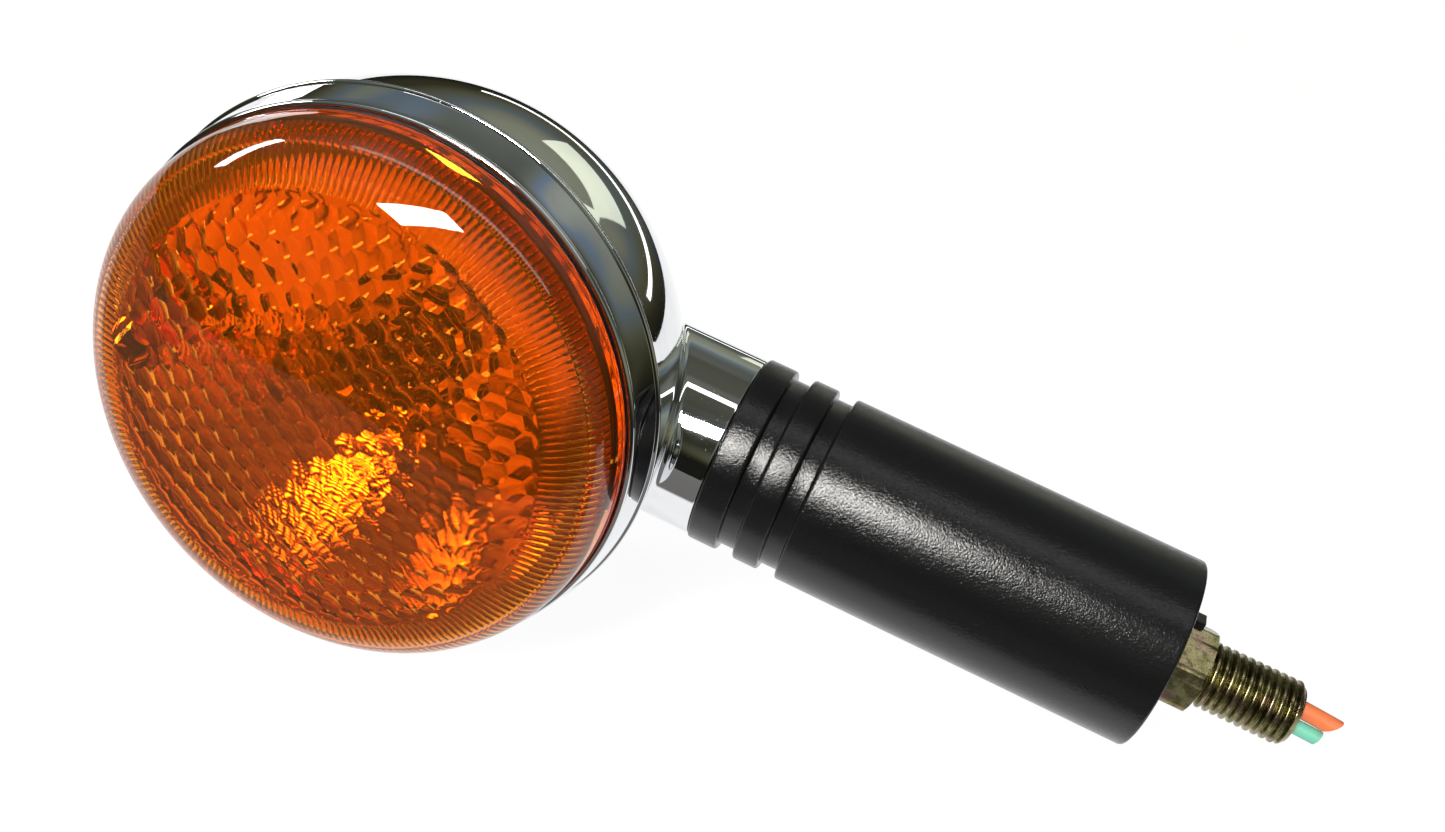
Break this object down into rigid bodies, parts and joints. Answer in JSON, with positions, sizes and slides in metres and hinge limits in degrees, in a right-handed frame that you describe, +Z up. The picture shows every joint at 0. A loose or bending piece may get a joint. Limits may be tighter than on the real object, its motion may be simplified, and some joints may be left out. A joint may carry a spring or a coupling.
{
  "type": "motorcycle turn signal indicator",
  "caption": "Round amber turn signal in a chromed bowl on a short black stem, with a hollow threaded stud for mounting and a bayonet bulb inside.",
  "frame": {"origin": "centre of the end face of the stud's hexagon shoulder, on the stud's axis", "axes": "+X along the stem towards the stud's threaded tip, +Y from the lens towards the back of the bowl, +Z up as fitted"},
  "size_m": [0.1852, 0.0612, 0.0828],
  "materials": {
    "chrome_shell": "polished",
    "amber_lens": "gloss",
    "gasket_rubber": "matte",
    "steel": "satin",
    "reflector_mirror": "polished",
    "brass": "satin",
    "fibre": "matte",
    "bulb_glass_black": "gloss",
    "solder": "satin",
    "clear_glass": "gloss",
    "tungsten": "satin",
    "black_stem": "satin",
    "zinc_steel": "satin",
    "orange_pvc": "satin",
    "green_pvc": "satin"
  },
  "bodies": {
    "lamp_body": {"housing": "chrome_shell", "lens": "amber_lens", "lens_gasket": "gasket_rubber", "lens_screw": "steel", "lens_screw_washer": "steel", "reflector": "reflector_mirror", "socket_shell": "steel", "socket_bracket": "steel", "socket_screw_upper": "steel", "socket_screw_lower": "steel", "earth_terminal": "brass", "base_insulator": "fibre", "feed_terminal": "brass", "contact_spring": "steel", "stem": "black_stem", "mounting_stud": "zinc_steel", "stud_nut": "zinc_steel", "stud_washer": "zinc_steel", "lead_orange": "orange_pvc", "lead_green": "green_pvc"},
    "contact_plunger": {"contact_disc": "fibre", "contact_rivet": "brass"},
    "bulb": {"bulb_base": "brass", "bulb_insulator": "bulb_glass_black", "bulb_contact": "solder", "bulb_glass": "clear_glass", "bulb_stem_glass": "clear_glass", "bulb_support_wire_upper": "steel", "bulb_support_wire_lower": "steel", "bulb_filament": "tungsten"}
  },
  "joints": [
    {"name": "bulb_push", "type": "slide", "parent": "lamp_body", "child": "contact_plunger", "axis": [0, 1, 0], "range_m": [0, 0.0012], "stiffness_N_per_m": 1500, "deforming": ["contact_spring"]},
    {"name": "bulb_twist", "type": "hinge", "parent": "contact_plunger", "child": "bulb", "pos_m": [-0.123, 0, 0], "axis": [0, 1, 0], "range_deg": [0, 20]}
  ]
}
